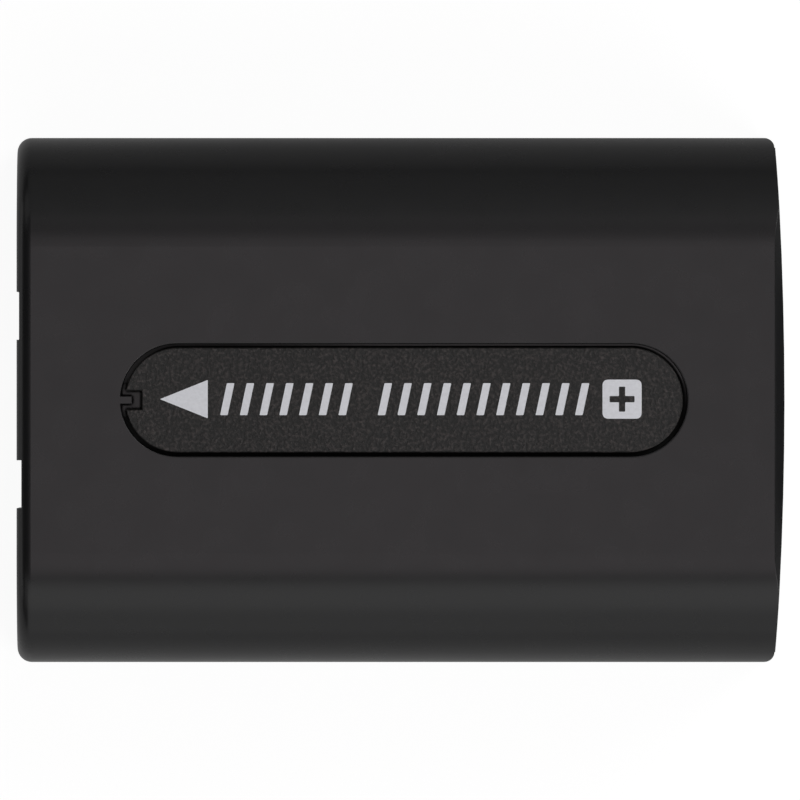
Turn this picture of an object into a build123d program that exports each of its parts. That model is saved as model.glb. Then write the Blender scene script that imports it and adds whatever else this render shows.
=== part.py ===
from build123d import *
import os

# Slide-on rechargeable battery pack for a small video camera, in millimetres.
# The pack lies on its mount face. X runs along its length with the terminals at the -X end, Y runs
# across it, and Z rises from the mount face to the label face. The outside follows from the stack of
# pieces inside: about 45.6 long, 31.2 wide and 18.5 thick.

# Cells, two side by side, each measured from the tip of its plus cap
cell_diameter = 14.0
cell_length = 36.5
cell_base_edge = 0.5
cell_shoulder_edge = 0.7
cap_diameter = 6.2
cap_height = 0.8
cap_edge = 0.2
crimp_width = 1.6
crimp_sink = 0.3
bead_offset = 2.6
bead_width = 1.2
bead_depth = 0.5
sleeve_thickness = 0.1
washer_thickness = 0.2
washer_clearance = 0.2
cell_gap = 0.18
cell_clearance = 0.1

# Nickel strips, insulating sheet and foam pad at the cell ends
strip_thickness = 0.15
strip_width = 4.0
strip_rise = 3.4
strip_bend = 0.3
sense_strip_width = 2.5
sense_strip_rise = 4.4
link_overhang = 2.0
insulator_thickness = 0.2
insulator_margin = 0.1
insulator_drop = 0.4
insulator_window_margin = 0.3
pad_thickness = 0.5
pad_height = 6.0
pad_corner = 1.5

# Protection board and what is soldered on it
board_thickness = 0.8
board_length = 25.4
board_height = 8.0
board_clearance = 0.05
component_height = 0.9
component_clearance = 0.2
lead_thickness = 0.15
lead_width = 0.35
lead_pitch = 0.8
lead_reach = 0.6
small_chip = (3.0, 1.7)
large_chip = (3.4, 4.4)
fuse_size = (3.2, 1.6)
fuse_height = 0.6
passive_size = (1.6, 0.8)
resistor_height = 0.45
capacitor_height = 0.8
passive_gap = 0.8

# Fork terminals, their holder and the slots they stand in
terminal_pitch = 5.0
slot_width = 2.85
data_slot_width = 2.1
slot_height = 5.0
slot_depth = 3.4
slot_wall = 1.2
contact_thickness = 0.25
contact_height = 2.8
contact_clearance = 0.15
contact_pinch = 0.45
contact_setback = 0.7
contact_flare = 0.5
contact_bend = 0.4
tail_width = 1.2
tail_stub = 0.5
tail_clearance = 0.05
holder_thickness = 1.0
holder_roof = 0.8

# Case walls and outside form
wall = 1.2
floor_thickness = 1.2
cradle_web = 1.75
shoulder_radius = 6.5
terminal_end_round = 0.85
thumb_end_crown = 0.56
thumb_end_setback = 0.02
thumb_end_drop = 0.45
thumb_corner_radius = 0.6
mount_edge = 0.4
back_flute_depth = 0.15
front_flute_depth = 0.29

# Seam between the case halves
seam_gap = 0.12
lip_height = 1.5
lip_thickness = 0.5
lip_clearance = 0.05

# Cell cradles and board rails in the tray
cradle_thickness = 1.2
cradle_clearance = 0.05
cradle_rise = 2.2
cradle_inset = 5.0
cradle_count = 3
rail_thickness = 0.7
rail_overlap = 0.9
rail_height = 4.0

# Hook notches in the long sides, an entry with a groove running towards the thumb end
notch_depth = 1.6
notch_wall = 1.0
notch_entry_length = 4.2
notch_groove_length = 5.3
notch_lip = 1.8
notch_groove_height = 1.8
notch_clearance = 0.1
notch_spacing = 18.5

# Lock recess in the mount face
lock_length = 3.0
lock_width = 6.0
lock_depth = 1.6
lock_wall = 0.9
lock_inset = 3.2

# Label plate, its film and its pocket with a locating tongue
plate_length = 33.08
plate_width = 6.2
plate_thickness = 1.0
plate_edge = 0.06
plate_gap = 0.26
plate_end_gap = 0.3
plate_sink = 0.05
plate_offset = 0.2
film_thickness = 0.05
film_clearance = 0.04
film_margin = 0.45
tongue_length = 0.7
tongue_width = 0.42
tongue_tip_gap = 0.6
tongue_side_gap = 0.36
pocket_backing = 0.4

# Stack across the pack
cell_radius = cell_diameter / 2
sleeve_radius = cell_radius + sleeve_thickness
cell_pitch = 2 * sleeve_radius + cell_gap
inner_half_width = cell_pitch / 2 + sleeve_radius + cell_clearance
case_width = 2 * (inner_half_width + wall)
half_width = case_width / 2

# Stack up through the pack
cell_axis_height = floor_thickness + cradle_web + cradle_clearance + sleeve_radius
ceiling_height = cell_axis_height + sleeve_radius + cell_clearance
case_thickness = ceiling_height + wall
parting_height = slot_height + wall
rim_height = parting_height + seam_gap
slope_foot = case_thickness - thumb_end_drop
board_top = floor_thickness + board_height

# Stack along the pack
component_space = component_height + component_clearance
end_stack = slot_depth + holder_thickness + board_thickness + component_space + insulator_thickness
far_stack = 2 * strip_thickness + pad_thickness + wall + thumb_end_crown
case_length = end_stack + cell_length + far_stack
left_end = -case_length / 2
right_end = case_length / 2
right_corner = right_end - thumb_end_crown
inner_left = left_end + wall
inner_right = right_corner - wall
slot_back = left_end + slot_depth
holder_back = slot_back + holder_thickness
board_back = holder_back + board_thickness
insulator_front = board_back + component_space
cells_left = insulator_front + insulator_thickness
cells_right = cells_left + cell_length
link_back = cells_right + strip_thickness
strip_back = link_back + strip_thickness

# Places that several pieces share
terminal_places = {
    "terminal_positive": (terminal_pitch, slot_width),
    "terminal_data": (0.0, data_slot_width),
    "terminal_negative": (-terminal_pitch, slot_width),
}
terminal_block_half = terminal_pitch + slot_width / 2 + slot_wall
contact_middle = floor_thickness + (slot_height - floor_thickness) / 2
cradle_top = cell_axis_height - sleeve_radius + cradle_rise
cradle_spacing = (cell_length - 2 * cradle_inset - cradle_thickness) / (cradle_count - 1)
notch_length = notch_entry_length + notch_groove_length
notch_top = notch_lip + notch_groove_height
notch_first = cells_left + notch_clearance + notch_wall
notch_starts = [notch_first, notch_first + notch_spacing]
notch_block_inner = half_width - notch_depth - notch_wall
lock_left = right_corner - lock_inset - lock_length
rail_front = holder_back - board_clearance - rail_thickness
rail_back = board_back + board_clearance + rail_thickness
rail_inner = board_length / 2 - rail_overlap
rail_outer = board_length / 2 + board_clearance + rail_thickness
pocket_length = plate_length + 2 * plate_end_gap
pocket_width = plate_width + 2 * plate_gap
pocket_depth = film_thickness + plate_thickness + plate_sink
pocket_floor = case_thickness - pocket_depth
pocket_left = plate_offset - pocket_length / 2
link_length = cell_pitch + 2 * link_overhang


def trace_plan(corner, bulge):
    """Draw the plan of the case in the current line builder, with its thumb end bulged so far."""
    Line((corner, -half_width), (left_end, -half_width))
    Line((left_end, -half_width), (left_end, half_width))
    Line((left_end, half_width), (corner, half_width))
    if bulge:
        ThreePointArc((corner, half_width), (corner + bulge, 0), (corner, -half_width))
    else:
        Line((corner, half_width), (corner, -half_width))


def trace_inner_plan(growth, mode=Mode.ADD):
    """Draw the plan of the space inside the walls in the current sketch, grown on every side."""
    with Locations(((inner_left + inner_right) / 2, 0)):
        Rectangle(inner_right - inner_left + 2 * growth, 2 * (inner_half_width + growth), mode=mode)


def trace_flutes():
    """Draw the two flutes of the terminal end in the current sketch."""
    for place, depth in ((terminal_pitch, back_flute_depth), (-terminal_pitch, front_flute_depth)):
        with Locations((left_end, place)):
            Rectangle(2 * depth, slot_width)


def trace_notched_slot(length, width, margin):
    """Draw a slot shape in the current sketch, notched to clear the tongue by its gaps and a margin."""
    with Locations((plate_offset, 0)):
        SlotOverall(length, width)
    with Locations((pocket_left, 0)):
        Rectangle(
            tongue_length + tongue_tip_gap + margin,
            tongue_width + 2 * (tongue_side_gap + margin),
            align=(Align.MIN, Align.CENTER),
            mode=Mode.SUBTRACT,
        )


def trace_tail_slits(clearance, mode=Mode.ADD):
    """Draw the section of the three terminal tails in the current sketch, grown by a clearance."""
    for place, width in terminal_places.values():
        with Locations((place, contact_middle)):
            Rectangle(contact_thickness + 2 * clearance, tail_width + 2 * clearance, mode=mode)


os.makedirs("parts", exist_ok=True)

# Top case: the bulged plan, sloped off at the thumb end to a straight front edge, cut to the section
with BuildPart() as top_case:
    with BuildSketch(Plane.XY.offset(rim_height)):
        with BuildLine():
            trace_plan(right_corner, thumb_end_crown)
        make_face()
    extrude(amount=slope_foot - rim_height)
    with BuildSketch(Plane.XY.offset(slope_foot)):
        with BuildLine():
            trace_plan(right_corner, thumb_end_crown)
        make_face()
    with BuildSketch(Plane.XY.offset(case_thickness)):
        with BuildLine():
            trace_plan(right_corner - thumb_end_setback, 0)
        make_face()
    loft(ruled=True)
    with BuildSketch(Plane.YZ) as section:
        with Locations((0, rim_height)):
            Rectangle(case_width, case_thickness - rim_height, align=(Align.CENTER, Align.MIN))
        fillet(section.vertices().group_by(Axis.Y)[-1], shoulder_radius)
    extrude(amount=case_length, both=True, mode=Mode.INTERSECT)
    terminal_end = top_case.faces().sort_by(Axis.X)[0]
    fillet(terminal_end.edges().group_by(Axis.Z)[1:], terminal_end_round)
    with BuildSketch(Plane.XY.offset(rim_height)):
        for side in (1, -1):
            outward = Align.MIN if side > 0 else Align.MAX
            with Locations((right_corner - thumb_corner_radius, side * (half_width - thumb_corner_radius))):
                Rectangle(2 * thumb_corner_radius, 2 * thumb_corner_radius, align=(Align.MIN, outward))
                Circle(thumb_corner_radius, mode=Mode.SUBTRACT)
    extrude(amount=case_thickness, mode=Mode.SUBTRACT)
    # Cavity, with the rebate that takes the lip of the tray
    with BuildSketch(Plane.YZ.offset(inner_left)) as cavity:
        with Locations((0, rim_height)):
            Rectangle(2 * inner_half_width, ceiling_height - rim_height, align=(Align.CENTER, Align.MIN))
        fillet(cavity.vertices().group_by(Axis.Y)[-1], shoulder_radius - wall)
    extrude(amount=inner_right - inner_left, mode=Mode.SUBTRACT)
    with BuildSketch(Plane.XY.offset(rim_height)):
        trace_inner_plan(lip_thickness + lip_clearance)
    extrude(amount=lip_height - seam_gap, mode=Mode.SUBTRACT)
    # Backing behind the pocket, the pocket round its tongue, and the flutes
    with BuildSketch(Plane.XY.offset(ceiling_height)):
        with Locations((plate_offset, 0)):
            SlotOverall(pocket_length + 2 * pocket_backing, pocket_width + 2 * pocket_backing)
    extrude(amount=-pocket_backing)
    with BuildSketch(Plane.XY.offset(case_thickness)):
        with Locations((plate_offset, 0)):
            SlotOverall(pocket_length, pocket_width)
        with Locations((pocket_left, 0)):
            Rectangle(tongue_length, tongue_width, align=(Align.MIN, Align.CENTER), mode=Mode.SUBTRACT)
    extrude(amount=-pocket_depth, mode=Mode.SUBTRACT)
    with BuildSketch(Plane.XY.offset(rim_height)):
        trace_flutes()
    extrude(amount=case_thickness, mode=Mode.SUBTRACT)
top_case.part.label = "top_case"
export_step(top_case.part, "parts/top_case.step")

# Bottom case: the tray with its lip
with BuildPart() as bottom_case:
    with BuildSketch() as tray_plan:
        with BuildLine():
            trace_plan(right_corner, thumb_end_crown)
        make_face()
        fillet(tray_plan.vertices().group_by(Axis.X)[-1], thumb_corner_radius)
        fillet(tray_plan.vertices().group_by(Axis.X)[0], terminal_end_round)
    extrude(amount=parting_height)
    chamfer(bottom_case.faces().sort_by(Axis.Z)[0].edges(), mount_edge)
    with BuildSketch(Plane.XY.offset(floor_thickness)):
        trace_inner_plan(0)
    extrude(amount=parting_height, mode=Mode.SUBTRACT)
    with BuildSketch(Plane.XY.offset(parting_height)):
        trace_inner_plan(lip_thickness)
        trace_inner_plan(0, Mode.SUBTRACT)
    extrude(amount=lip_height)
    # Cradles under the cells
    for step in range(cradle_count):
        with BuildSketch(Plane.YZ.offset(cells_left + cradle_inset + step * cradle_spacing)):
            with Locations((0, floor_thickness)):
                Rectangle(
                    2 * inner_half_width, cradle_top - floor_thickness, align=(Align.CENTER, Align.MIN)
                )
            with Locations((cell_pitch / 2, cell_axis_height), (-cell_pitch / 2, cell_axis_height)):
                Circle(sleeve_radius + cradle_clearance, mode=Mode.SUBTRACT)
        extrude(amount=cradle_thickness)
    # Block round the terminal slots, and the wall round the lock recess
    with BuildSketch(Plane.XY.offset(floor_thickness)):
        with Locations((inner_left, 0)):
            Rectangle(slot_back - inner_left, 2 * terminal_block_half, align=(Align.MIN, Align.CENTER))
    extrude(amount=parting_height - floor_thickness)
    with BuildSketch(Plane.XY.offset(floor_thickness)):
        with Locations((lock_left + lock_length / 2, 0)):
            Rectangle(lock_length + 2 * lock_wall, lock_width + 2 * lock_wall)
    extrude(amount=lock_depth + lock_wall - floor_thickness)
    # Rails that hold the board by its ends, and blocks behind the hook notches
    for side in (1, -1):
        outward = Align.MIN if side > 0 else Align.MAX
        with BuildSketch(Plane.XY.offset(floor_thickness)):
            with Locations((rail_front, side * rail_inner)):
                Rectangle(rail_back - rail_front, rail_outer - rail_inner, align=(Align.MIN, outward))
            with Locations((holder_back - board_clearance, side * rail_inner)):
                Rectangle(
                    board_thickness + 2 * board_clearance,
                    rail_overlap + board_clearance,
                    align=(Align.MIN, outward),
                    mode=Mode.SUBTRACT,
                )
        extrude(amount=rail_height)
        for start in notch_starts:
            with BuildSketch(Plane.XY.offset(floor_thickness)):
                with Locations((start - notch_wall, side * notch_block_inner)):
                    Rectangle(notch_length + 2 * notch_wall, notch_depth, align=(Align.MIN, outward))
            extrude(amount=notch_top + notch_wall - floor_thickness)
    # Hook notches, cut in from each long side
    for side in (1, -1):
        with BuildSketch(Plane.XZ.offset(-side * half_width)):
            for start in notch_starts:
                with BuildLine():
                    Polyline(
                        (start, 0),
                        (start + notch_entry_length, 0),
                        (start + notch_entry_length, notch_lip),
                        (start + notch_length, notch_lip),
                        (start + notch_length, notch_top),
                        (start, notch_top),
                        close=True,
                    )
                make_face()
        extrude(amount=side * notch_depth, mode=Mode.SUBTRACT)
    # Terminal slots, flutes and lock recess
    with BuildSketch():
        for place, width in terminal_places.values():
            with Locations((left_end, place)):
                Rectangle(slot_depth, width, align=(Align.MIN, Align.CENTER))
    extrude(amount=slot_height, mode=Mode.SUBTRACT)
    with BuildSketch():
        trace_flutes()
    extrude(amount=parting_height, mode=Mode.SUBTRACT)
    with BuildSketch():
        with Locations((lock_left + lock_length / 2, 0)):
            Rectangle(lock_length, lock_width)
    extrude(amount=lock_depth, mode=Mode.SUBTRACT)
bottom_case.part.label = "bottom_case"
export_step(bottom_case.part, "parts/bottom_case.step")

# Label plate in its pocket, on a film that fills the pocket's floor but for a window round the tongue
with BuildPart() as label_plate:
    with BuildSketch(Plane.XY.offset(pocket_floor + film_thickness)):
        trace_notched_slot(plate_length, plate_width, 0)
    extrude(amount=plate_thickness)
    chamfer(label_plate.faces().sort_by(Axis.Z)[-1].edges(), plate_edge)
label_plate.part.label = "label_plate"
export_step(label_plate.part, "parts/label_plate.step")

with BuildPart() as plate_film:
    with BuildSketch(Plane.XY.offset(pocket_floor)):
        trace_notched_slot(
            pocket_length - 2 * film_clearance, pocket_width - 2 * film_clearance, film_margin
        )
    extrude(amount=film_thickness)
plate_film.part.label = "plate_film"
export_step(plate_film.part, "parts/plate_film.step")


def build_cell(number, place, plus_end, direction):
    """Build one cell with its sleeve and washer, its axis along X from the tip of its plus cap."""
    frame = Plane((plus_end, place, cell_axis_height), x_dir=(direction, 0, 0), z_dir=(0, -direction, 0))
    axis = Axis(frame.origin, frame.x_dir)
    cap_radius = cap_diameter / 2
    crimp_radius = cell_radius - crimp_width
    bead = cap_height + bead_offset

    # Can with its plus cap, crimped rim and rolled bead
    with BuildPart() as cell:
        with BuildSketch(frame):
            with BuildLine():
                Polyline(
                    (0, 0),
                    (0, cap_radius - cap_edge),
                    (cap_edge, cap_radius),
                    (cap_height + crimp_sink, cap_radius),
                    (cap_height + crimp_sink, crimp_radius),
                    (cap_height, crimp_radius),
                    (cap_height, cell_radius - cell_shoulder_edge),
                    (cap_height + cell_shoulder_edge, cell_radius),
                    (bead - bead_width / 2, cell_radius),
                    (bead - bead_width / 4, cell_radius - bead_depth),
                    (bead + bead_width / 4, cell_radius - bead_depth),
                    (bead + bead_width / 2, cell_radius),
                    (cell_length - cell_base_edge, cell_radius),
                    (cell_length, cell_radius - cell_base_edge),
                    (cell_length, 0),
                    close=True,
                )
            make_face()
        revolve(axis=axis)
    cell.part.label = f"cell_{number}"
    export_step(cell.part, f"parts/cell_{number}.step")

    # Shrunk sleeve from the crimped rim to the base
    with BuildPart() as sleeve:
        with BuildSketch(Plane(frame.from_local_coords((cap_height, 0, 0)), z_dir=(direction, 0, 0))):
            Circle(sleeve_radius)
            Circle(cell_radius, mode=Mode.SUBTRACT)
        extrude(amount=cell_length - cap_height)
    sleeve.part.label = f"sleeve_{number}"
    export_step(sleeve.part, f"parts/sleeve_{number}.step")

    # Fibre washer round the plus cap, on the crimped rim
    with BuildPart() as washer:
        with BuildSketch(Plane(frame.from_local_coords((cap_height, 0, 0)), z_dir=(-direction, 0, 0))):
            Circle(cell_radius - cell_shoulder_edge)
            Circle(cap_radius + washer_clearance, mode=Mode.SUBTRACT)
        extrude(amount=washer_thickness)
    washer.part.label = f"washer_{number}"
    export_step(washer.part, f"parts/washer_{number}.step")


build_cell(1, cell_pitch / 2, cells_left, 1)
build_cell(2, -cell_pitch / 2, cells_right, -1)

# Link across the far ends of the cells
with BuildPart() as series_link:
    with BuildSketch(Plane.YZ.offset(cells_right)):
        with Locations((0, cell_axis_height)):
            Rectangle(link_length, strip_width)
    extrude(amount=strip_thickness)
series_link.part.label = "series_link"
export_step(series_link.part, "parts/series_link.step")

# Bent strips from the near ends of the cells to the top edge of the board
for strip_name, place in (("positive_strip", cell_pitch / 2), ("negative_strip", -cell_pitch / 2)):
    with BuildPart() as strip:
        with BuildSketch(Plane.XZ.offset(-place)):
            with BuildLine():
                FilletPolyline(
                    (holder_back, board_top + strip_thickness / 2),
                    (cells_left - strip_thickness / 2, board_top + strip_thickness / 2),
                    (cells_left - strip_thickness / 2, board_top + strip_rise),
                    radius=strip_bend,
                )
            trace(line_width=strip_thickness)
        extrude(amount=strip_width / 2, both=True)
    strip.part.label = strip_name
    export_step(strip.part, f"parts/{strip_name}.step")

# Strip from the link to the board, laid on the cradles in the valley between the cells
with BuildPart() as sense_strip:
    with BuildSketch(Plane.XZ):
        with BuildLine():
            FilletPolyline(
                (board_back, cradle_top + strip_thickness / 2),
                (strip_back - strip_thickness / 2, cradle_top + strip_thickness / 2),
                (strip_back - strip_thickness / 2, cradle_top + sense_strip_rise),
                radius=strip_bend,
            )
        trace(line_width=strip_thickness)
    extrude(amount=sense_strip_width / 2, both=True)
sense_strip.part.label = "sense_strip"
export_step(sense_strip.part, "parts/sense_strip.step")

# Insulating sheet over the near ends of the cells, with a window for the strip
with BuildPart() as end_insulator:
    with BuildSketch(Plane.YZ.offset(insulator_front)):
        with Locations((0, floor_thickness)):
            Rectangle(
                board_length - 2 * insulator_margin,
                board_height - insulator_drop,
                align=(Align.CENTER, Align.MIN),
            )
        with Locations((0, cradle_top + strip_thickness / 2)):
            Rectangle(
                sense_strip_width + 2 * insulator_window_margin,
                strip_thickness + 2 * insulator_window_margin,
                mode=Mode.SUBTRACT,
            )
    extrude(amount=insulator_thickness)
end_insulator.part.label = "end_insulator"
export_step(end_insulator.part, "parts/end_insulator.step")

# Foam pad between the link and the thumb end wall
with BuildPart() as end_pad:
    with BuildSketch(Plane.YZ.offset(strip_back)):
        with Locations((0, cell_axis_height)):
            RectangleRounded(link_length, pad_height, pad_corner)
    extrude(amount=pad_thickness)
end_pad.part.label = "end_pad"
export_step(end_pad.part, "parts/end_pad.step")

# Holder against the back of the slots, and the board against the holder
with BuildPart() as terminal_holder:
    with BuildSketch(Plane.YZ.offset(slot_back)):
        with Locations((0, floor_thickness)):
            Rectangle(
                2 * terminal_block_half,
                slot_height + holder_roof - floor_thickness,
                align=(Align.CENTER, Align.MIN),
            )
        trace_tail_slits(tail_clearance, Mode.SUBTRACT)
    extrude(amount=holder_thickness)
terminal_holder.part.label = "terminal_holder"
export_step(terminal_holder.part, "parts/terminal_holder.step")

with BuildPart() as circuit_board:
    with BuildSketch(Plane.YZ.offset(holder_back)):
        with Locations((0, floor_thickness)):
            Rectangle(board_length, board_height, align=(Align.CENTER, Align.MIN))
        trace_tail_slits(tail_clearance, Mode.SUBTRACT)
    extrude(amount=board_thickness)
circuit_board.part.label = "circuit_board"
export_step(circuit_board.part, "parts/circuit_board.step")

# Fork terminals: arms that draw in to a pinch and flare at the tip, with a tail through the board
for terminal_name, (place, width) in terminal_places.items():
    base_half = width / 2 - contact_clearance - contact_thickness / 2
    pinch_half = (contact_pinch + contact_thickness) / 2
    tip = left_end + contact_setback
    base = slot_back - contact_thickness / 2
    with BuildPart() as terminal:
        with BuildSketch(Plane.XY.offset(contact_middle)):
            with BuildLine():
                FilletPolyline(
                    (tip, place + (pinch_half + base_half) / 2),
                    (tip + contact_flare, place + pinch_half),
                    (base, place + base_half),
                    (base, place - base_half),
                    (tip + contact_flare, place - pinch_half),
                    (tip, place - (pinch_half + base_half) / 2),
                    radius=contact_bend,
                )
            trace(line_width=contact_thickness)
        extrude(amount=contact_height / 2, both=True)
        with BuildSketch(Plane.YZ.offset(slot_back - contact_thickness / 2)):
            with Locations((place, contact_middle)):
                Rectangle(contact_thickness, tail_width)
        extrude(amount=board_back + tail_stub - slot_back + contact_thickness / 2)
    terminal.part.label = terminal_name
    export_step(terminal.part, f"parts/{terminal_name}.step")


def build_chip(name, place, size, lead_pairs):
    """Build a flat-lead chip on the back of the board, its leads running across its width."""
    with BuildPart() as chip:
        with BuildSketch(Plane.YZ.offset(board_back)):
            with Locations(place):
                Rectangle(*size)
        extrude(amount=component_height)
        with BuildSketch(Plane.YZ.offset(board_back)):
            with Locations(place):
                with GridLocations(lead_pitch, 0, lead_pairs, 1):
                    Rectangle(lead_width, size[1] + 2 * lead_reach)
        extrude(amount=lead_thickness)
    chip.part.label = name
    export_step(chip.part, f"parts/{name}.step")


def build_blocks(name, places, size, height):
    """Build a group of like two-ended parts on the back of the board."""
    with BuildPart() as blocks:
        with BuildSketch(Plane.YZ.offset(board_back)):
            with Locations(*places):
                Rectangle(*size)
        extrude(amount=height)
    blocks.part.label = name
    export_step(blocks.part, f"parts/{name}.step")


# Parts on the back of the board: chips in the upper half, small parts between the terminal tails
upper_row = board_top - small_chip[1] / 2 - lead_reach - passive_gap
small_rows = (contact_middle - passive_size[1], contact_middle + passive_size[1])
last_column = rail_inner - passive_gap - passive_size[0] / 2
outer_column = last_column - passive_size[0] - passive_gap
outer_middle = (outer_column + last_column) / 2
tail_column = terminal_pitch / 2
build_chip("protection_ic", (tail_column + small_chip[0] / 4, upper_row), small_chip, 3)
build_chip("data_chip", (-tail_column - small_chip[0] / 4, upper_row), small_chip, 3)
build_chip("mosfet_pair", (-outer_middle, floor_thickness + board_height / 2), large_chip, 4)
build_blocks("fuse", [(outer_middle, upper_row)], fuse_size, fuse_height)
resistor_places = [(column, row) for column in (outer_column, last_column) for row in small_rows]
build_blocks("chip_resistors", resistor_places, passive_size, resistor_height)
capacitor_places = [(tail_column, small_rows[0]), (tail_column, small_rows[1]), (-tail_column, small_rows[0])]
build_blocks("chip_capacitors", capacitor_places, passive_size, capacitor_height)
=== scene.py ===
"""Looks of a slide-on battery pack for a small video camera, laid out as an add-on."""
import math

import bmesh
import bpy
from bpy.props import FloatProperty, FloatVectorProperty, IntProperty, PointerProperty
from bpy.types import Operator, Panel, PropertyGroup
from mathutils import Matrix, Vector


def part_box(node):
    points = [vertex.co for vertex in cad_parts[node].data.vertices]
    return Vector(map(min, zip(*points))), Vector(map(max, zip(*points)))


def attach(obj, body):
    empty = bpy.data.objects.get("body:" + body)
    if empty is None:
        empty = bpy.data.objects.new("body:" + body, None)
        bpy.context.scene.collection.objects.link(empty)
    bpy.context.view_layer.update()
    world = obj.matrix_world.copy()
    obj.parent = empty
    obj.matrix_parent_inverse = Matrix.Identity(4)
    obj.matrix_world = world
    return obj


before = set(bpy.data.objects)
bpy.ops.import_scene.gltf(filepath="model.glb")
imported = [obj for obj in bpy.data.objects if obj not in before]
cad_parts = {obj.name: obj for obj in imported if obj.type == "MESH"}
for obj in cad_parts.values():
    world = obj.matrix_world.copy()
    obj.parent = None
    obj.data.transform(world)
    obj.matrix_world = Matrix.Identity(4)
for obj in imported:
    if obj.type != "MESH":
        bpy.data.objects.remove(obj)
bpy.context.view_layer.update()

bl_info = {
    "name": "Slide-on battery pack",
    "version": (1, 0, 0),
    "blender": (4, 5, 0),
    "location": "View3D > Sidebar > Battery",
    "description": "Finishes, printed marks, solder and studio for a slide-on battery pack",
    "category": "Object",
}

MM = 0.001
PLATE_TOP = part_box("label_plate")[1].z
FILM_LOW, FILM_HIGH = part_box("plate_film")
FILM_MIDDLE = (FILM_LOW + FILM_HIGH) / 2
BOARD_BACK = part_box("circuit_board")[1].x
TINNED = "#C4C2BC"


def linear(hex_colour):
    """Turn an sRGB hex colour into linear red, green, blue and alpha."""
    channels = [int(hex_colour[i : i + 2], 16) / 255 for i in (1, 3, 5)]
    return (*[c / 12.92 if c <= 0.04045 else ((c + 0.055) / 1.055) ** 2.4 for c in channels], 1.0)


def add_node(tree, kind, inputs=None, links=None, **settings):
    """Add a node with its settings, its socket values and the links into it."""
    node = tree.nodes.new(kind)
    for name, value in settings.items():
        setattr(node, name, value)
    for socket, value in (inputs or {}).items():
        node.inputs[socket].default_value = value
    for socket, source in (links or {}).items():
        tree.links.new(source, node.inputs[socket])
    return node


def per_metre(feature_mm):
    """Give the texture scale at which one feature of a pattern is so many millimetres across."""
    return 1 / (feature_mm * MM)


# Spark pits of the label plate, about 0.05 mm across, drawn at 0.2 mm so that they show
PLATE_GRAIN = {"Scale": per_metre(0.2), "Detail": 3.0, "Roughness": 0.65}


def start_material(name, **shader_values):
    """Start a material with a principled shader whose sockets hold plain values."""
    material = bpy.data.materials.new(name)
    material.use_nodes = True
    shader = material.node_tree.nodes["Principled BSDF"]
    for socket, value in shader_values.items():
        shader.inputs[socket.replace("_", " ")].default_value = value
    return material, material.node_tree, shader


def finish_node(name, material):
    """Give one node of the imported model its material."""
    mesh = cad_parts[name].data
    mesh.materials.clear()
    mesh.materials.append(material)


def add_piece(name, mesh, material):
    """Make an object from a finished mesh, and let it ride with the pack."""
    piece = bpy.data.objects.new(name, mesh)
    bpy.context.scene.collection.objects.link(piece)
    mesh.materials.append(material)
    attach(piece, "root")
    return piece


class BatteryFinishes(PropertyGroup):
    """Colours of the surfaces that show."""

    case_colour: FloatVectorProperty(
        name="Case", description="Black of the moulded case", subtype="COLOR", size=4,
        default=linear("#0F0F10"), min=0, max=1,
    )
    plate_colour: FloatVectorProperty(
        name="Label plate", description="Black of the grained label plate", subtype="COLOR", size=4,
        default=linear("#0B0A09"), min=0, max=1,
    )
    speck_colour: FloatVectorProperty(
        name="Grain", description="Paler tips of the grain on the label plate", subtype="COLOR", size=4,
        default=linear("#3C3635"), min=0, max=1,
    )
    ink_colour: FloatVectorProperty(
        name="Ink", description="Pale grey ink of the printed marks", subtype="COLOR", size=4,
        default=linear("#D9DADF"), min=0, max=1,
    )
    contact_colour: FloatVectorProperty(
        name="Contacts", description="Gold plating of the fork terminals", subtype="COLOR", size=4,
        default=linear("#E3B964"), min=0, max=1,
    )
    sleeve_colour: FloatVectorProperty(
        name="Cell sleeves", description="Shrunk film on the cells", subtype="COLOR", size=4,
        default=linear("#2F6B8A"), min=0, max=1,
    )
    mask_colour: FloatVectorProperty(
        name="Board", description="Solder mask of the protection board", subtype="COLOR", size=4,
        default=linear("#1E5A38"), min=0, max=1,
    )


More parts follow.
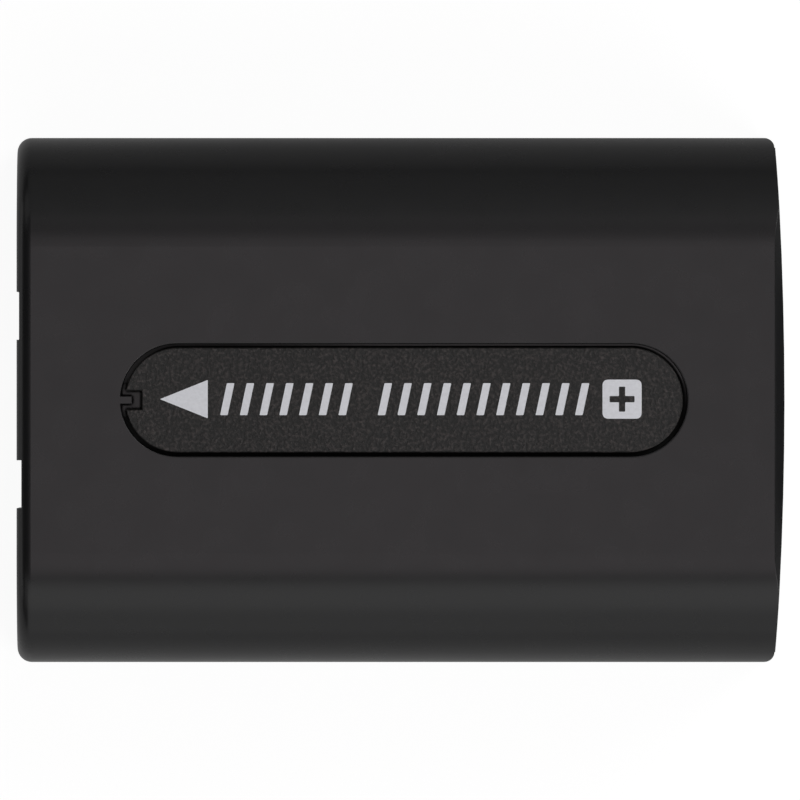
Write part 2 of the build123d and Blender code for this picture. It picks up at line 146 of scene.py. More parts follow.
class BatteryPrint(PropertyGroup):
    """Sizes of the marks printed on the label plate."""

    ink_thickness: FloatProperty(
        name="Ink thickness", description="How far the ink stands on the plate", unit="LENGTH",
        default=0.012 * MM, min=0, precision=6,
    )
    corner: FloatProperty(
        name="Corner radius", description="Rounding that the screen gives each corner", unit="LENGTH",
        default=0.06 * MM, min=0, precision=6,
    )
    middle: FloatProperty(
        name="Middle line", description="Place of the row of marks across the pack", unit="LENGTH",
        default=0.05 * MM, precision=6,
    )
    arrow_tip: FloatProperty(
        name="Arrow tip", description="Place of the arrow's tip along the pack", unit="LENGTH",
        default=-14.27 * MM, precision=5,
    )
    arrow_length: FloatProperty(
        name="Arrow length", description="From the tip to the base", unit="LENGTH",
        default=2.84 * MM, min=0, precision=5,
    )
    arrow_width: FloatProperty(
        name="Arrow width", description="Width of the arrow's base", unit="LENGTH",
        default=2.28 * MM, min=0, precision=5,
    )
    bar_height: FloatProperty(
        name="Bar height", description="Height of the slanted bars", unit="LENGTH",
        default=1.9 * MM, min=0, precision=5,
    )
    bar_slant: FloatProperty(
        name="Bar slant", description="How far the bars lean", subtype="ANGLE",
        default=math.radians(12), min=0, max=math.radians(45),
    )
    bar_width: FloatProperty(
        name="Bar width", description="Width of each slanted bar along the pack", unit="LENGTH",
        default=0.45 * MM, min=0, precision=5,
    )
    bar_pitch: FloatProperty(
        name="Bar pitch", description="From one bar to the next", unit="LENGTH",
        default=1.17 * MM, min=0, precision=5,
    )
    bars_start: FloatProperty(
        name="Bars' start", description="Place along the pack where the first group starts", unit="LENGTH",
        default=-10.5 * MM, precision=5,
    )
    bars_end: FloatProperty(
        name="Bars' end", description="Place along the pack where the second group ends", unit="LENGTH",
        default=11.0 * MM, precision=5,
    )
    first_bars: IntProperty(
        name="First bars", description="How many bars the first group has", default=7, min=1,
    )
    second_bars: IntProperty(
        name="Second bars", description="How many bars the second group has", default=11, min=1,
    )
    square_side: FloatProperty(
        name="Square side", description="Side of the rounded square", unit="LENGTH",
        default=2.32 * MM, min=0, precision=5,
    )
    square_corner: FloatProperty(
        name="Square corner", description="Corner radius of the square", unit="LENGTH",
        default=0.36 * MM, min=0, precision=5,
    )
    square_middle: FloatProperty(
        name="Square place", description="Place of the square's middle along the pack", unit="LENGTH",
        default=13.14 * MM, precision=5,
    )
    plus_reach: FloatProperty(
        name="Plus reach", description="How far each arm reaches, as a share of the square's side",
        subtype="FACTOR", default=0.32, min=0, max=0.5,
    )
    plus_half_width: FloatProperty(
        name="Plus half width", description="Half an arm's width, as a share of the square's side",
        subtype="FACTOR", default=0.08, min=0, max=0.5,
    )


class BatteryStudio(PropertyGroup):
    """Camera, floor and lamps."""

    lens: FloatProperty(
        name="Lens", description="Focal length of the camera, far off so that the sides don't spread",
        default=1500, min=50, subtype="DISTANCE_CAMERA",
    )
    view_width: FloatProperty(
        name="View width", description="What the image spans at the widest part of the case", unit="LENGTH",
        default=47.60 * MM, min=0, precision=5,
    )
    widest_height: FloatProperty(
        name="Widest height", description="Height at which the long edges start to round", unit="LENGTH",
        default=12 * MM, min=0, precision=5,
    )
    floor_size: FloatProperty(
        name="Floor size", description="Side of the pale paper floor", unit="LENGTH", default=8.0, min=0,
    )
    lamp_level: FloatProperty(
        name="Lamp level", description="Brightness of all lamps together", default=1.0, min=0, max=4,
    )
    room_level: FloatProperty(
        name="Room level", description="Brightness of the room round the lamps", default=0.05, min=0, max=1,
    )


def moulded_abs():
    """ABS from a satin mould: an even near-black skin with a soft shine and rounded-over edges."""
    look = bpy.context.scene.battery_finishes
    material, tree, shader = start_material(
        "ABS satin moulded", Base_Color=look.case_colour, IOR=1.53,
    )
    place = add_node(tree, "ShaderNodeTexCoord").outputs["Object"]
    # Flow of the melt leaves patches about 2 mm across that shine a little more or less
    flow = add_node(
        tree, "ShaderNodeTexNoise", {"Scale": per_metre(2.0), "Detail": 1.5}, {"Vector": place},
    )
    shine = add_node(
        tree, "ShaderNodeMapRange", {"To Min": 0.25, "To Max": 0.31}, {"Value": flow.outputs["Fac"]},
    )
    # The pocket is told from the rest of the case by the film's box and a margin round it
    margin = Vector((0.3, 0.3, 0.05)) * MM
    reach = (FILM_HIGH - FILM_LOW) / 2 + margin
    split = add_node(tree, "ShaderNodeSeparateXYZ", links={"Vector": place})
    within = [
        add_node(
            tree, "ShaderNodeMath", {1: FILM_MIDDLE[i], 2: reach[i]}, {0: split.outputs[i]},
            operation="COMPARE",
        ).outputs[0]
        for i in range(3)
    ]
    plan = add_node(tree, "ShaderNodeMath", links={0: within[0], 1: within[1]}, operation="MULTIPLY")
    floor = add_node(
        tree, "ShaderNodeMath", links={0: plan.outputs[0], 1: within[2]}, operation="MULTIPLY",
    )
    # The pocket's floor is smooth, and made rougher along the foot of each wall by how hidden each point
    # is: painted shade, done through roughness, that darkens the floor beside the walls
    openness = add_node(tree, "ShaderNodeAmbientOcclusion", {"Distance": 0.2 * MM}, samples=8)
    floor_rough = add_node(
        tree, "ShaderNodeMapRange", {"From Min": 0.6, "From Max": 0.95, "To Min": 1.0, "To Max": 0.29},
        {"Value": openness.outputs["AO"]},
    )
    rough = add_node(
        tree, "ShaderNodeMapRange",
        links={
            "Value": floor.outputs[0],
            "To Min": shine.outputs["Result"],
            "To Max": floor_rough.outputs["Result"],
        },
    )
    tree.links.new(rough.outputs["Result"], shader.inputs["Roughness"])
    # Edges are rounded over a little, and the pocket's rim more where it runs clear of the notch
    edge_radius, rim_radius = 0.05 * MM, 0.15 * MM
    notch_end, clear_of_notch = FILM_LOW.x + 1.5 * MM, FILM_LOW.x + 4.0 * MM
    rim = add_node(
        tree, "ShaderNodeMapRange",
        {"From Min": notch_end, "From Max": clear_of_notch, "To Min": edge_radius, "To Max": rim_radius},
        {"Value": split.outputs["X"]},
    )
    radius = add_node(
        tree, "ShaderNodeMapRange", {"To Min": edge_radius},
        {"Value": plan.outputs[0], "To Max": rim.outputs["Result"]},
    )
    edge = add_node(tree, "ShaderNodeBevel", links={"Radius": radius.outputs["Result"]}, samples=6)
    # The mould's fine satin, really about 0.02 mm, drawn at 0.12 mm so that it shows
    satin = add_node(
        tree, "ShaderNodeTexNoise", {"Scale": per_metre(0.12), "Detail": 2.0}, {"Vector": place},
    )
    bump = add_node(
        tree, "ShaderNodeBump", {"Strength": 0.25, "Distance": 0.002 * MM},
        {"Height": satin.outputs["Fac"], "Normal": edge.outputs["Normal"]},
    )
    tree.links.new(bump.outputs["Normal"], shader.inputs["Normal"])
    return material


def grained_abs():
    """ABS from a spark-eroded mould: a dull black of fine pits and paler tips."""
    look = bpy.context.scene.battery_finishes
    material, tree, shader = start_material("ABS spark-eroded grain", Roughness=0.54, IOR=1.48)
    place = add_node(tree, "ShaderNodeTexCoord").outputs["Object"]
    pits = add_node(tree, "ShaderNodeTexNoise", PLATE_GRAIN, {"Vector": place})
    # Only the tips of the grain between the pits are paler
    tips = add_node(
        tree, "ShaderNodeMapRange", {"From Min": 0.48, "From Max": 0.76}, {"Value": pits.outputs["Fac"]},
    )
    colour = add_node(
        tree, "ShaderNodeMix", {"A": look.plate_colour, "B": look.speck_colour},
        {"Factor": tips.outputs["Result"]}, data_type="RGBA",
    )
    tree.links.new(colour.outputs["Result"], shader.inputs["Base Color"])
    bump = add_node(
        tree, "ShaderNodeBump", {"Strength": 1.0, "Distance": 0.05 * MM}, {"Height": pits.outputs["Fac"]},
    )
    tree.links.new(bump.outputs["Normal"], shader.inputs["Normal"])
    return material


def screen_ink():
    """Screen-printed enamel ink: pale grey, dull, taking some of the grain below it."""
    look = bpy.context.scene.battery_finishes
    material, tree, shader = start_material("Enamel ink screen-printed", Roughness=0.55, IOR=1.5)
    place = add_node(tree, "ShaderNodeTexCoord").outputs["Object"]
    # The ink thins out over the tips of the plate's grain
    grain = add_node(tree, "ShaderNodeTexNoise", PLATE_GRAIN, {"Vector": place})
    thin = add_node(
        tree, "ShaderNodeMapRange", {"From Min": 0.35, "From Max": 0.75, "To Max": 0.12},
        {"Value": grain.outputs["Fac"]},
    )
    colour = add_node(
        tree, "ShaderNodeMix", {"A": look.ink_colour, "B": look.speck_colour},
        {"Factor": thin.outputs["Result"]}, data_type="RGBA",
    )
    tree.links.new(colour.outputs["Result"], shader.inputs["Base Color"])
    bump = add_node(
        tree, "ShaderNodeBump", {"Strength": 0.3, "Distance": 0.005 * MM}, {"Height": grain.outputs["Fac"]},
    )
    tree.links.new(bump.outputs["Normal"], shader.inputs["Normal"])
    return material


def drawn_metal(name, colour, spacing_mm, stretch, low, high):
    """Drawn or rolled metal: fine lines along the working direction, duller and brighter in turn."""
    material, tree, shader = start_material(name, Base_Color=colour, Metallic=1.0)
    place = add_node(tree, "ShaderNodeTexCoord").outputs["Object"]
    # Real lines are a few hundredths of a millimetre apart, and the spacing is coarser so that they show
    along = add_node(tree, "ShaderNodeMapping", {"Scale": stretch}, {"Vector": place})
    lines = add_node(
        tree, "ShaderNodeTexNoise", {"Scale": per_metre(spacing_mm), "Detail": 2.0},
        {"Vector": along.outputs["Vector"]},
    )
    shine = add_node(
        tree, "ShaderNodeMapRange", {"To Min": low, "To Max": high}, {"Value": lines.outputs["Fac"]},
    )
    tree.links.new(shine.outputs["Result"], shader.inputs["Roughness"])
    bump = add_node(
        tree, "ShaderNodeBump", {"Strength": 0.2, "Distance": 0.003 * MM}, {"Height": lines.outputs["Fac"]},
    )
    tree.links.new(bump.outputs["Normal"], shader.inputs["Normal"])
    return material


def shrink_film():
    """PVC sleeve shrunk on with hot air: glossy, with faint creases where it drew in."""
    look = bpy.context.scene.battery_finishes
    material, tree, shader = start_material(
        "PVC shrink film", Base_Color=look.sleeve_colour, Roughness=0.22, IOR=1.54,
    )
    place = add_node(tree, "ShaderNodeTexCoord").outputs["Object"]
    # Creases about 1.2 mm apart run along the cell
    along = add_node(tree, "ShaderNodeMapping", {"Scale": (0.15, 1.0, 1.0)}, {"Vector": place})
    creases = add_node(
        tree, "ShaderNodeTexNoise", {"Scale": per_metre(1.2), "Detail": 3.0},
        {"Vector": along.outputs["Vector"]},
    )
    bump = add_node(
        tree, "ShaderNodeBump", {"Strength": 0.2, "Distance": 0.03 * MM},
        {"Height": creases.outputs["Fac"]},
    )
    tree.links.new(bump.outputs["Normal"], shader.inputs["Normal"])
    return material


def mottled(name, pale, dark, feature_mm, rough, relief_mm):
    """Pressed or foamed stuff: two near tones in a soft mottle, with the same mottle as relief."""
    material, tree, shader = start_material(name, Roughness=rough)
    place = add_node(tree, "ShaderNodeTexCoord").outputs["Object"]
    mottle = add_node(
        tree, "ShaderNodeTexNoise", {"Scale": per_metre(feature_mm), "Detail": 4.0}, {"Vector": place},
    )
    colour = add_node(
        tree, "ShaderNodeMix", {"A": linear(pale), "B": linear(dark)},
        {"Factor": mottle.outputs["Fac"]}, data_type="RGBA",
    )
    tree.links.new(colour.outputs["Result"], shader.inputs["Base Color"])
    bump = add_node(
        tree, "ShaderNodeBump", {"Strength": 0.5, "Distance": relief_mm * MM},
        {"Height": mottle.outputs["Fac"]},
    )
    tree.links.new(bump.outputs["Normal"], shader.inputs["Normal"])
    return material


def foam_tape():
    """Acrylic foam tape: dull black cells, and a strip of bare skin that shines above the plate."""
    material, tree, shader = start_material("Acrylic foam tape", IOR=1.55)
    place = add_node(tree, "ShaderNodeTexCoord").outputs["Object"]
    # The closed cells are about 0.1 mm across
    cells = add_node(
        tree, "ShaderNodeTexNoise", {"Scale": per_metre(0.1), "Detail": 4.0}, {"Vector": place},
    )
    colour = add_node(
        tree, "ShaderNodeMix", {"A": linear("#0E0E0E"), "B": linear("#040404")},
        {"Factor": cells.outputs["Fac"]}, data_type="RGBA",
    )
    tree.links.new(colour.outputs["Result"], shader.inputs["Base Color"])
    # The skin is about 0.1 mm wide round the upper half of the slot, and duller towards the notched end
    dull, half_dull, shiny = 0.9, 0.45, 0.28
    notched_side, clear_side = -10.0 * MM, -1.0 * MM
    lower_side, upper_side = -0.5 * MM, 1.5 * MM
    radius = FILM_HIGH.y - FILM_MIDDLE.y
    half_straight = FILM_HIGH.x - FILM_MIDDLE.x - radius
    skin_start, skin_full = radius - 0.14 * MM, radius - 0.08 * MM
    split = add_node(tree, "ShaderNodeSeparateXYZ", links={"Vector": place})
    along = add_node(
        tree, "ShaderNodeMath", {1: FILM_MIDDLE.x}, {0: split.outputs["X"]}, operation="SUBTRACT",
    )
    aside = add_node(tree, "ShaderNodeMath", links={0: along.outputs[0]}, operation="ABSOLUTE")
    past = add_node(
        tree, "ShaderNodeMath", {1: half_straight}, {0: aside.outputs[0]}, operation="SUBTRACT",
    )
    in_end = add_node(tree, "ShaderNodeMath", {1: 0.0}, {0: past.outputs[0]}, operation="MAXIMUM")
    spoke = add_node(
        tree, "ShaderNodeCombineXYZ", links={"X": in_end.outputs[0], "Y": split.outputs["Y"]},
    )
    from_middle = add_node(tree, "ShaderNodeVectorMath", links={0: spoke.outputs[0]}, operation="LENGTH")
    lengthways = add_node(
        tree, "ShaderNodeMapRange",
        {"From Min": notched_side, "From Max": clear_side, "To Min": half_dull, "To Max": shiny},
        {"Value": split.outputs["X"]},
    )
    upper_half = add_node(
        tree, "ShaderNodeMapRange", {"From Min": lower_side, "From Max": upper_side, "To Min": dull},
        {"Value": split.outputs["Y"], "To Max": lengthways.outputs["Result"]},
    )
    skin = add_node(
        tree, "ShaderNodeMapRange", {"From Min": skin_start, "From Max": skin_full, "To Min": dull},
        {"Value": from_middle.outputs["Value"], "To Max": upper_half.outputs["Result"]},
    )
    tree.links.new(skin.outputs["Result"], shader.inputs["Roughness"])
    bump = add_node(
        tree, "ShaderNodeBump", {"Strength": 0.5, "Distance": 0.002 * MM}, {"Height": cells.outputs["Fac"]},
    )
    tree.links.new(bump.outputs["Normal"], shader.inputs["Normal"])
    return material


def masked_laminate():
    """FR-4 laminate under solder mask: glossy green with paler tracks of copper beneath it."""
    look = bpy.context.scene.battery_finishes
    material, tree, shader = start_material("FR-4 solder-masked", Roughness=0.3, IOR=1.55)
    place = add_node(tree, "ShaderNodeTexCoord").outputs["Object"]
    # Tracks run square to each other about 1.3 mm apart
    tracks = add_node(
        tree, "ShaderNodeTexVoronoi", {"Scale": per_metre(1.3), "Randomness": 0.6}, {"Vector": place},
        distance="CHEBYCHEV",
    )
    copper = add_node(
        tree, "ShaderNodeMapRange", {"From Min": 0.42, "From Max": 0.46},
        {"Value": tracks.outputs["Distance"]},
    )
    colour = add_node(
        tree, "ShaderNodeMix", {"A": look.mask_colour, "B": linear("#3F8A55")},
        {"Factor": copper.outputs["Result"]}, data_type="RGBA",
    )
    tree.links.new(colour.outputs["Result"], shader.inputs["Base Color"])
    bump = add_node(
        tree, "ShaderNodeBump", {"Strength": 0.4, "Distance": 0.02 * MM},
        {"Height": copper.outputs["Result"]},
    )
    tree.links.new(bump.outputs["Normal"], shader.inputs["Normal"])
    return material


def tipped_part(name, body, axis, middles, half_body):
    """Soldered part: a dull body with tinned metal beyond its half length from the nearest middle."""
    material, tree, shader = start_material(name, Roughness=0.45)
    place = add_node(tree, "ShaderNodeTexCoord").outputs["Object"]
    split = add_node(tree, "ShaderNodeSeparateXYZ", links={"Vector": place})
    reaches = []
    for middle in middles:
        off = add_node(
            tree, "ShaderNodeMath", {1: middle}, {0: split.outputs[axis]}, operation="SUBTRACT",
        )
        reaches.append(add_node(tree, "ShaderNodeMath", links={0: off.outputs[0]}, operation="ABSOLUTE"))
    nearest = add_node(
        tree, "ShaderNodeMath", links={0: reaches[0].outputs[0], 1: reaches[-1].outputs[0]},
        operation="MINIMUM",
    )
    metal = add_node(
        tree, "ShaderNodeMath", {1: half_body}, {0: nearest.outputs[0]}, operation="GREATER_THAN",
    )
    # Grit of the resin or ceramic, about 0.1 mm
    grit = add_node(tree, "ShaderNodeTexNoise", {"Scale": per_metre(0.1)}, {"Vector": place})
    tint = add_node(
        tree, "ShaderNodeMix", {"A": linear(body), "B": linear(TINNED)},
        {"Factor": metal.outputs[0]}, data_type="RGBA",
    )
    tree.links.new(tint.outputs["Result"], shader.inputs["Base Color"])
    tree.links.new(metal.outputs[0], shader.inputs["Metallic"])
    bump = add_node(
        tree, "ShaderNodeBump", {"Strength": 0.3, "Distance": 0.01 * MM}, {"Height": grit.outputs["Fac"]},
    )
    tree.links.new(bump.outputs["Normal"], shader.inputs["Normal"])
    return material


def round_corners(points, radius, steps=6):
    """Round each corner of a closed outline with a short curve that starts a radius from the corner."""
    rounded = []
    count = len(points)
    for i, corner in enumerate(points):
        corner = Vector(corner)
        before = (Vector(points[i - 1]) - corner).normalized() * radius + corner
        after = (Vector(points[(i + 1) % count]) - corner).normalized() * radius + corner
        for step in range(steps + 1):
            t = step / steps
            rounded.append(before * (1 - t) ** 2 + corner * 2 * t * (1 - t) + after * t ** 2)
    return rounded


def ink_mesh(name, outlines, low, high):
    """Fill outlines, with any outline inside another as a hole, and give them a thickness."""
    mesh = bpy.data.meshes.new(name)
    bm = bmesh.new()
    for outline in outlines:
        ring = [bm.verts.new((*point, low)) for point in outline]
        for i, vert in enumerate(ring):
            bm.edges.new((ring[i - 1], vert))
    bmesh.ops.triangle_fill(bm, use_beauty=True, use_dissolve=False, edges=bm.edges[:])
    raised = bmesh.ops.extrude_face_region(bm, geom=bm.faces[:])["geom"]
    for vert in (item for item in raised if isinstance(item, bmesh.types.BMVert)):
        vert.co.z = high
    bmesh.ops.recalc_face_normals(bm, faces=bm.faces[:])
    bm.to_mesh(mesh)
    bm.free()
    return mesh


def arrow_outline(sizes):
    """Give the outline of the arrow, which points to the terminals."""
    base = sizes.arrow_tip + sizes.arrow_length
    half = sizes.arrow_width / 2
    corners = [
        (sizes.arrow_tip, sizes.middle), (base, sizes.middle - half), (base, sizes.middle + half),
    ]
    return round_corners(corners, sizes.corner)


def bar_outlines(sizes):
    """Give the outlines of both groups of slanted bars, the second counted back from its end."""
    half = sizes.bar_height / 2
    lean = math.tan(sizes.bar_slant) * half
    last = sizes.bars_end - sizes.bar_width
    starts = [sizes.bars_start + i * sizes.bar_pitch for i in range(sizes.first_bars)]
    starts += [last - i * sizes.bar_pitch for i in range(sizes.second_bars)]
    outlines = []
    for left in starts:
        right = left + sizes.bar_width
        corners = [
            (left - lean, sizes.middle - half), (right - lean, sizes.middle - half),
            (right + lean, sizes.middle + half), (left + lean, sizes.middle + half),
        ]
        outlines.append(round_corners(corners, sizes.corner))
    return outlines


def square_outlines(sizes):
    """Give the outlines of the rounded square and of the plus sign left clear in it."""
    half = sizes.square_side / 2
    square = [(-half, -half), (half, -half), (half, half), (-half, half)]
    arm = sizes.plus_reach * sizes.square_side
    thick = sizes.plus_half_width * sizes.square_side
    plus = [
        (-arm, -thick), (-thick, -thick), (-thick, -arm), (thick, -arm), (thick, -thick), (arm, -thick),
        (arm, thick), (thick, thick), (thick, arm), (-thick, arm), (-thick, thick), (-arm, thick),
    ]
    outlines = []
    for corners, radius in ((square, sizes.square_corner), (plus, sizes.corner)):
        placed = [(sizes.square_middle + x, sizes.middle + y) for x, y in corners]
        outlines.append(round_corners(placed, radius))
    return outlines


def solder_mesh(terminals):
    """Build a ring of solder round each terminal's tail, which climbs the tail in a hollow curve."""
    tail = Vector((0.14, 0.62)) * MM
    foot = Vector((0.45, 0.95)) * MM
    rise = 0.36 * MM
    # Each ring is an ellipse squared off to the tail's shape by raising its sine and cosine to a power
    squaring = 0.4
    around = 32
    levels = 8
    bm = bmesh.new()
    for name in terminals:
        low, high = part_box(name)
        centre = (low + high) / 2
        shapes = []
        for level in range(levels + 1):
            t = level / levels
            shapes.append((foot * (1 - t) ** 2 + tail * (1 - (1 - t) ** 2), t * rise))
        shapes.append((tail, 0.0))
        rings = []
        for half, lift in shapes:
            ring = []
            for i in range(around):
                turn = 2 * math.pi * i / around
                y = math.copysign(abs(math.cos(turn)) ** squaring, math.cos(turn)) * half.x
                z = math.copysign(abs(math.sin(turn)) ** squaring, math.sin(turn)) * half.y
                ring.append(bm.verts.new((BOARD_BACK + lift, centre.y + y, centre.z + z)))
            rings.append(ring)
        for k, ring in enumerate(rings):
            before = rings[k - 1]
            for i in range(around):
                face = bm.faces.new((before[i - 1], before[i], ring[i], ring[i - 1]))
                face.smooth = 0 < k < len(rings) - 1
    bmesh.ops.recalc_face_normals(bm, faces=bm.faces[:])
    mesh = bpy.data.meshes.new("solder_joints")
    bm.to_mesh(mesh)
    bm.free()
    return mesh


def matt_paper():
    """Matt white paper: white to the eye, with a soft shadow under the pack."""
    eye_level, glow_share = 1.06, 0.88
    front_left_level, back_right_level = 0.32, 0.15
    front_left, back_right = -24 * MM, 20 * MM
    material = bpy.data.materials.new("Paper matt white")
    material.use_nodes = True
    tree = material.node_tree
    tree.nodes.clear()
    path = add_node(tree, "ShaderNodeLightPath")
    eye = path.outputs["Is Camera Ray"]
    mirrored = add_node(
        tree, "ShaderNodeMath",
        links={0: path.outputs["Is Glossy Ray"], 1: path.outputs["Is Transmission Ray"]},
        operation="MAXIMUM",
    )
    seen = add_node(tree, "ShaderNodeMath", links={0: eye, 1: mirrored.outputs[0]}, operation="MAXIMUM")
    # Most of what is seen glows, and the rest is lit paper, which keeps the shadow: together they are white
    share = add_node(tree, "ShaderNodeMath", {1: glow_share}, {0: seen.outputs[0]}, operation="MULTIPLY")
    # A softer white in reflections, less at the back right, keeps the rounded edges of the case dark
    place = add_node(tree, "ShaderNodeTexCoord").outputs["Object"]
    split = add_node(tree, "ShaderNodeSeparateXYZ", links={"Vector": place})
    across = add_node(
        tree, "ShaderNodeMath", links={0: split.outputs["X"], 1: split.outputs["Y"]}, operation="ADD",
    )
    mirror_level = add_node(
        tree, "ShaderNodeMapRange",
        {
            "From Min": front_left, "From Max": back_right,
            "To Min": front_left_level, "To Max": back_right_level,
        },
        {"Value": across.outputs[0]},
    )
    level = add_node(
        tree, "ShaderNodeMapRange", {"To Max": eye_level},
        {"Value": eye, "To Min": mirror_level.outputs["Result"]},
    )
    sheet = add_node(tree, "ShaderNodeBsdfDiffuse", {"Color": linear("#FAFAFA")})
    glow = add_node(
        tree, "ShaderNodeEmission", {"Color": linear("#FFFFFF")}, {"Strength": level.outputs["Result"]},
    )
    both = add_node(
        tree, "ShaderNodeMixShader",
        links={0: share.outputs[0], 1: sheet.outputs["BSDF"], 2: glow.outputs["Emission"]},
    )
    add_node(tree, "ShaderNodeOutputMaterial", links={"Surface": both.outputs["Shader"]})
    return material


def lay_floor(studio):
    """Lay the paper just under the pack."""
    half = studio.floor_size / 2
    drop = -0.02 * MM
    mesh = bpy.data.meshes.new("floor")
    mesh.from_pydata(
        [(-half, -half, drop), (half, -half, drop), (half, half, drop), (-half, half, drop)],
        [], [(0, 1, 2, 3)],
    )
    mesh.materials.append(matt_paper())
    floor = bpy.data.objects.new("floor", mesh)
    bpy.context.scene.collection.objects.link(floor)


def dim_room(studio):
    """Fill the room round the lamps with a faint even light."""
    world = bpy.data.worlds.new("Dim studio")
    world.use_nodes = True
    background = world.node_tree.nodes["Background"]
    background.inputs["Color"].default_value = linear("#FFFFFF")
    background.inputs["Strength"].default_value = studio.room_level
    bpy.context.scene.world = world


def hang_softboxes(studio):
    """Hang the softboxes round the pack, each turned to it."""
    white, rose = "#FFFFFF", "#FFF6FA"
    # Name, shape, place, size across and along in metres, brightness, and colour of the cloth
    softboxes = (
        ("lamp_overhead", "RECTANGLE", (0.0, -0.077, 0.5), (0.166, 0.274), 0.37, rose),
        ("lamp_overhead_back", "RECTANGLE", (0.0, -0.035, 0.495), (0.166, 0.31), 0.35, rose),
        ("lamp_overhead_wide", "RECTANGLE", (0.0, 0.03, 0.49), (0.180, 0.54), 0.24, rose),
        ("lamp_front", "RECTANGLE", (0.0, -0.366, 0.341), (0.40, 0.25), 0.22, white),
        ("lamp_front_wide", "RECTANGLE", (0.0, -0.433, 0.252), (0.40, 0.58), 0.50, white),
        ("lamp_back", "RECTANGLE", (0.0, 0.45, 0.31), (0.40, 0.60), 0.16, white),
        ("lamp_left", "RECTANGLE", (-0.5, 0.0, 0.085), (0.60, 0.17), 0.52, white),
        ("lamp_right_back", "ELLIPSE", (0.375, 0.338, 0.409), (0.40, 0.42), 4.6, white),
        ("lamp_right_front", "ELLIPSE", (0.375, -0.338, 0.409), (0.40, 0.42), 4.6, white),
        ("lamp_left_back", "ELLIPSE", (-0.352, 0.391, 0.382), (0.36, 0.39), 0.3, white),
        ("lamp_left_front", "ELLIPSE", (-0.352, -0.391, 0.382), (0.36, 0.39), 0.3, white),
    )
    filled_share = {"RECTANGLE": 1.0, "ELLIPSE": math.pi / 4}
    for name, shape, place, (across, along), brightness, colour in softboxes:
        lamp = bpy.data.lights.new(name, "AREA")
        lamp.shape = shape
        lamp.size = across
        lamp.size_y = along
        area = across * along * filled_share[shape]
        lamp.energy = studio.lamp_level * brightness * math.pi * area
        lamp.color = linear(colour)[:3]
        softbox = bpy.data.objects.new(name, lamp)
        softbox.location = place
        softbox.rotation_euler = (-Vector(place)).to_track_quat("-Z", "Y").to_euler()
        softbox.visible_camera = False
        bpy.context.scene.collection.objects.link(softbox)


def set_camera(studio):
    """Set the camera far above the label face, looking straight down."""
    aside = -0.03 * MM
    camera_data = bpy.data.cameras.new("camera")
    camera_data.sensor_width = 36
    camera_data.lens = studio.lens
    camera = bpy.data.objects.new("camera", camera_data)
    distance = studio.view_width * studio.lens / camera_data.sensor_width
    camera.location = (aside, 0.0, studio.widest_height + distance)
    bpy.context.scene.collection.objects.link(camera)
    bpy.context.scene.camera = camera


class BATTERY_OT_case(Operator):
    """Finish the two moulded halves of the case"""

    bl_idname = "battery.case"
    bl_label = "Case halves"

    def execute(self, context):
        plastic = moulded_abs()
        for name in ("top_case", "bottom_case"):
            finish_node(name, plastic)
        return {"FINISHED"}


class BATTERY_OT_label_plate(Operator):
    """Finish the label plate and the film that holds it"""

    bl_idname = "battery.label_plate"
    bl_label = "Label plate"

    def execute(self, context):
        finish_node("label_plate", grained_abs())
        finish_node("plate_film", foam_tape())
        return {"FINISHED"}


class BATTERY_OT_printed_marks(Operator):
    """Print an arrow, two groups of slanted bars and a square with a plus sign on the label plate"""

    bl_idname = "battery.printed_marks"
    bl_label = "Printed marks"

    def execute(self, context):
        sizes = context.scene.battery_print
        ink = screen_ink()
        low = PLATE_TOP
        high = low + sizes.ink_thickness
        marks = {
            "print_arrow": [arrow_outline(sizes)],
            "print_bars": bar_outlines(sizes),
            "print_square": square_outlines(sizes),
        }
        for name, outlines in marks.items():
            add_piece(name, ink_mesh(name, outlines, low, high), ink)
        return {"FINISHED"}


class BATTERY_OT_cells(Operator):
    """Finish the cells with their sleeves, washers, strips, sheet and pad"""

    bl_idname = "battery.cells"
    bl_label = "Cells and strips"

    def execute(self, context):
        steel = drawn_metal(
            "Steel nickel-plated drawn", linear("#C9C7C2"), 0.2, (0.05, 1.0, 1.0), 0.25, 0.4,
        )
        nickel = drawn_metal("Nickel strip rolled", linear("#CFC9BC"), 0.15, (1.0, 1.0, 0.05), 0.3, 0.45)
        film = shrink_film()
        # Grey-green sheet of pressed fibre, dull and nearly flat, and dark foam of open cells
        fibre = mottled("Fibre sheet pressed", "#A9B39A", "#8E987F", 0.4, 0.8, 0.01)
        foam = mottled("Polyurethane foam", "#3A3A3C", "#1C1C1D", 0.35, 0.95, 0.12)
        for number in ("1", "2"):
            finish_node("cell_" + number, steel)
            finish_node("sleeve_" + number, film)
            finish_node("washer_" + number, fibre)
        for name in ("series_link", "positive_strip", "negative_strip", "sense_strip"):
            finish_node(name, nickel)
        finish_node("end_insulator", fibre)
        finish_node("end_pad", foam)
        return {"FINISHED"}


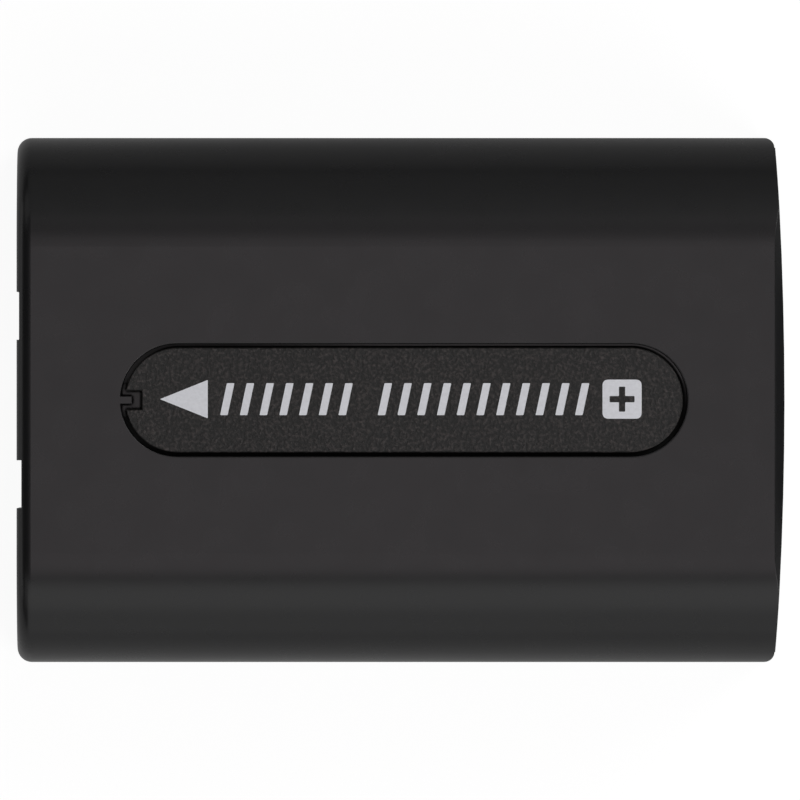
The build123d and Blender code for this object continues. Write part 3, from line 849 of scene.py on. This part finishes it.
class BATTERY_OT_board(Operator):
    """Finish the protection board and the parts soldered on it"""

    bl_idname = "battery.board"
    bl_label = "Protection board"

    def execute(self, context):
        finish_node("circuit_board", masked_laminate())
        # Black polyester filled with glass fibres, which leave a faint mottle
        filled = mottled("PBT glass-filled", "#262628", "#1B1B1C", 0.3, 0.5, 0.004)
        finish_node("terminal_holder", filled)

        lead_reach = 0.6 * MM
        for name in ("protection_ic", "data_chip", "mosfet_pair"):
            low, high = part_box(name)
            middles = [(low.z + high.z) / 2]
            half_body = (high.z - low.z) / 2 - lead_reach
            resin = tipped_part("Epoxy resin moulded " + name, "#1A1A1B", "Z", middles, half_body)
            finish_node(name, resin)

        half_length, cap = 0.8 * MM, 0.3 * MM
        for name, body in (("chip_resistors", "#202022"), ("chip_capacitors", "#A98B63")):
            low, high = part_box(name)
            middles = [low.y + half_length, high.y - half_length]
            ceramic = tipped_part("Ceramic fired " + name, body, "Y", middles, half_length - cap)
            finish_node(name, ceramic)

        low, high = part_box("fuse")
        middles = [(low.y + high.y) / 2]
        half_body = (high.y - low.y) / 2 - 2 * cap
        finish_node("fuse", tipped_part("Ceramic fired fuse", "#D8D6CE", "Y", middles, half_body))
        return {"FINISHED"}


class BATTERY_OT_terminals(Operator):
    """Finish the fork terminals and solder their tails to the board"""

    bl_idname = "battery.terminals"
    bl_label = "Terminals"

    def execute(self, context):
        look = context.scene.battery_finishes
        bronze = drawn_metal(
            "Spring bronze gold-plated", look.contact_colour, 0.12, (1.0, 1.0, 0.05), 0.2, 0.3,
        )
        solder = drawn_metal("Solder tin-silver", linear("#C9CACC"), 0.3, (1.0, 1.0, 1.0), 0.2, 0.35)
        terminals = ("terminal_positive", "terminal_negative", "terminal_data")
        for name in terminals:
            finish_node(name, bronze)
        add_piece("solder_joints", solder_mesh(terminals), solder)
        return {"FINISHED"}


class BATTERY_OT_stage(Operator):
    """Lay the pale floor, hang the lamps and set the camera above the label face"""

    bl_idname = "battery.stage"
    bl_label = "Stage"

    def execute(self, context):
        studio = context.scene.battery_studio
        context.scene.view_settings.view_transform = "Standard"
        lay_floor(studio)
        dim_room(studio)
        hang_softboxes(studio)
        set_camera(studio)
        return {"FINISHED"}


OPERATORS = (
    BATTERY_OT_case,
    BATTERY_OT_label_plate,
    BATTERY_OT_printed_marks,
    BATTERY_OT_cells,
    BATTERY_OT_board,
    BATTERY_OT_terminals,
    BATTERY_OT_stage,
)


class BATTERY_PT_sidebar(Panel):
    """Lists the pieces of the battery pack"""

    bl_idname = "BATTERY_PT_sidebar"
    bl_label = "Battery pack"
    bl_space_type = "VIEW_3D"
    bl_region_type = "UI"
    bl_category = "Battery"

    def draw(self, context):
        for operator in OPERATORS:
            self.layout.operator(operator.bl_idname)
        for group in (
            context.scene.battery_finishes, context.scene.battery_print, context.scene.battery_studio,
        ):
            for name in group.__annotations__:
                self.layout.prop(group, name)


CLASSES = (BatteryFinishes, BatteryPrint, BatteryStudio, *OPERATORS, BATTERY_PT_sidebar)


def register():
    """Register the classes and hang their settings on the scene."""
    for kind in CLASSES:
        bpy.utils.register_class(kind)
    bpy.types.Scene.battery_finishes = PointerProperty(type=BatteryFinishes)
    bpy.types.Scene.battery_print = PointerProperty(type=BatteryPrint)
    bpy.types.Scene.battery_studio = PointerProperty(type=BatteryStudio)


def unregister():
    """Take the settings off the scene and unregister the classes."""
    del bpy.types.Scene.battery_studio
    del bpy.types.Scene.battery_print
    del bpy.types.Scene.battery_finishes
    for kind in reversed(CLASSES):
        bpy.utils.unregister_class(kind)


def main():
    """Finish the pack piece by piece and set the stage."""
    register()
    bpy.ops.battery.case()
    bpy.ops.battery.label_plate()
    bpy.ops.battery.printed_marks()
    bpy.ops.battery.cells()
    bpy.ops.battery.board()
    bpy.ops.battery.terminals()
    bpy.ops.battery.stage()
    bpy.context.view_layer.update()


if __name__ == "__main__":
    main()
